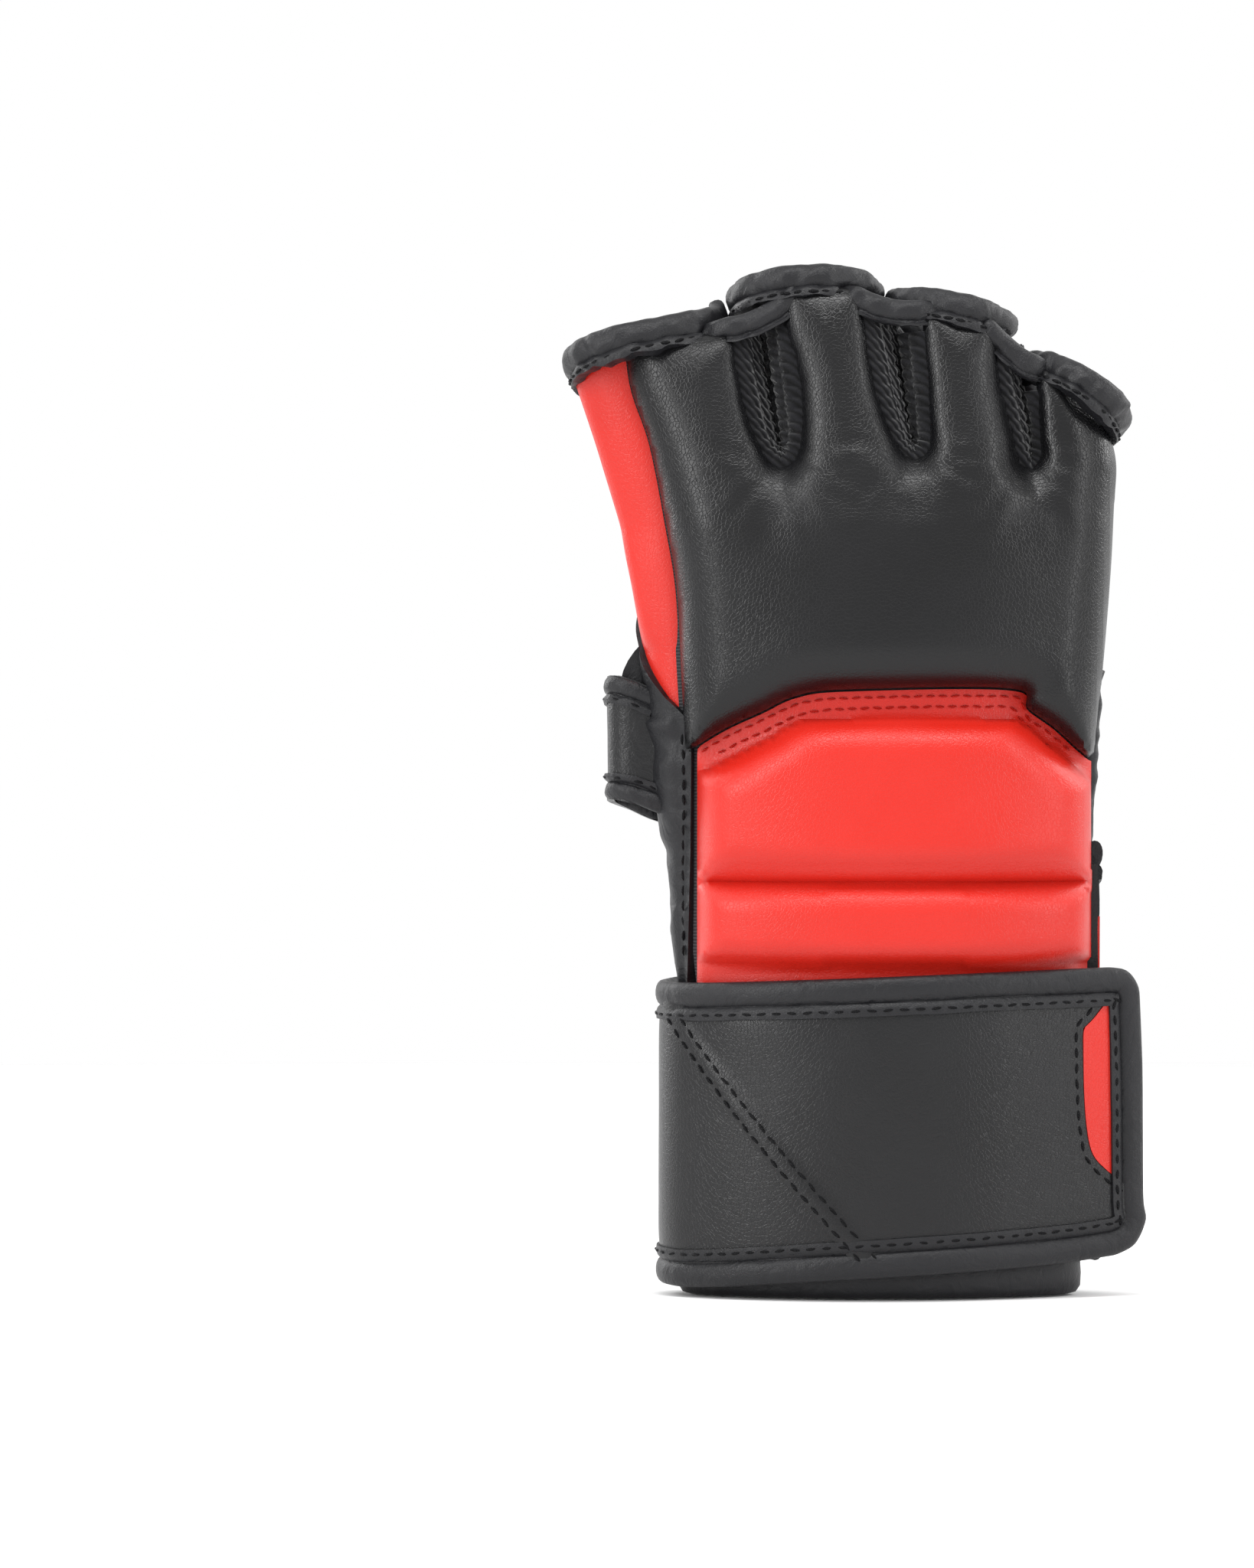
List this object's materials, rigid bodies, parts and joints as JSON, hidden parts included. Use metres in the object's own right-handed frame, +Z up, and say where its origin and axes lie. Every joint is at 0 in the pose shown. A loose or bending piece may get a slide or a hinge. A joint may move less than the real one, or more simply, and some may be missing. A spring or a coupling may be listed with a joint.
{
  "type": "mma glove",
  "caption": "Open-palm padded grappling glove for the right hand with moulded knuckle and back pads, thumb strip and wide hook-and-loop wrist strap.",
  "frame": {"origin": "bottom centre of the whole glove's box, on the surface that the cuff stands on", "axes": "+Z up the fingers, -Y out of the back of the hand, +Y out of the palm, -X to the thumb side"},
  "size_m": [0.1398, 0.0588, 0.249],
  "materials": {
    "black_leather": "satin grained synthetic leather",
    "red_leather": "satin synthetic leather",
    "edge_tape": "soft matt binding",
    "jersey_lining": "fine ribbed jersey",
    "knit": "coarse knit",
    "pad_foam": "closed-cell foam, never seen",
    "webbing": "woven",
    "loop_pile": "brushed loop pile",
    "hook_pile": "moulded hooks"
  },
  "bodies": {
    "hand": {"back_lining": "jersey_lining", "backhand_cover": "red_leather", "cuff_foam": "pad_foam", "fourchette_index_middle": "knit", "fourchette_middle_ring": "knit", "fourchette_ring_little": "knit", "hem_tape": "edge_tape", "index_finger_tape": "edge_tape", "knuckle_cover": "black_leather", "knuckle_foam": "pad_foam", "little_edge_tape": "edge_tape", "little_finger_tape": "edge_tape", "little_side_gusset": "red_leather", "loop_patch": "loop_pile", "metacarpal_foam": "pad_foam", "middle_finger_tape": "edge_tape", "palm_arch_tape": "edge_tape", "palm_panel": "black_leather", "ring_finger_tape": "edge_tape", "strap_anchor": "black_leather", "thumb_edge_tape": "edge_tape", "thumb_side_gusset": "red_leather", "thumb_strip": "black_leather", "thumb_strip_lower_tape": "edge_tape", "thumb_strip_upper_tape": "edge_tape", "wrist_elastic": "webbing", "wrist_foam": "pad_foam"},
    "strap_wrap": {"strap_wrap_bottom_tape": "edge_tape", "strap_wrap_inset": "red_leather", "strap_wrap_panel": "black_leather", "strap_wrap_top_tape": "edge_tape", "strap_wrap_webbing": "webbing"},
    "strap_tab": {"strap_tab_gore": "black_leather", "strap_tab_inset": "red_leather", "strap_tab_panel": "black_leather", "strap_tab_tape": "edge_tape", "strap_tab_webbing": "webbing", "hook_patch": "hook_pile"}
  },
  "joints": [
    {"name": "strap_wrap_turn", "type": "hinge", "parent": "hand", "child": "strap_wrap", "pos_m": [0.06012, 0.00575, 0.045], "axis": [0, 0, -1], "range_deg": [0, 45]},
    {"name": "strap_tab_turn", "type": "hinge", "parent": "strap_wrap", "child": "strap_tab", "pos_m": [-0.04788, 0.00575, 0.04], "axis": [0, 0, -1], "range_deg": [0, 150]}
  ],
  "couplings": [
    {"joint": "strap_wrap_turn", "follows": "strap_tab_turn", "ratio": 0.3}
  ]
}
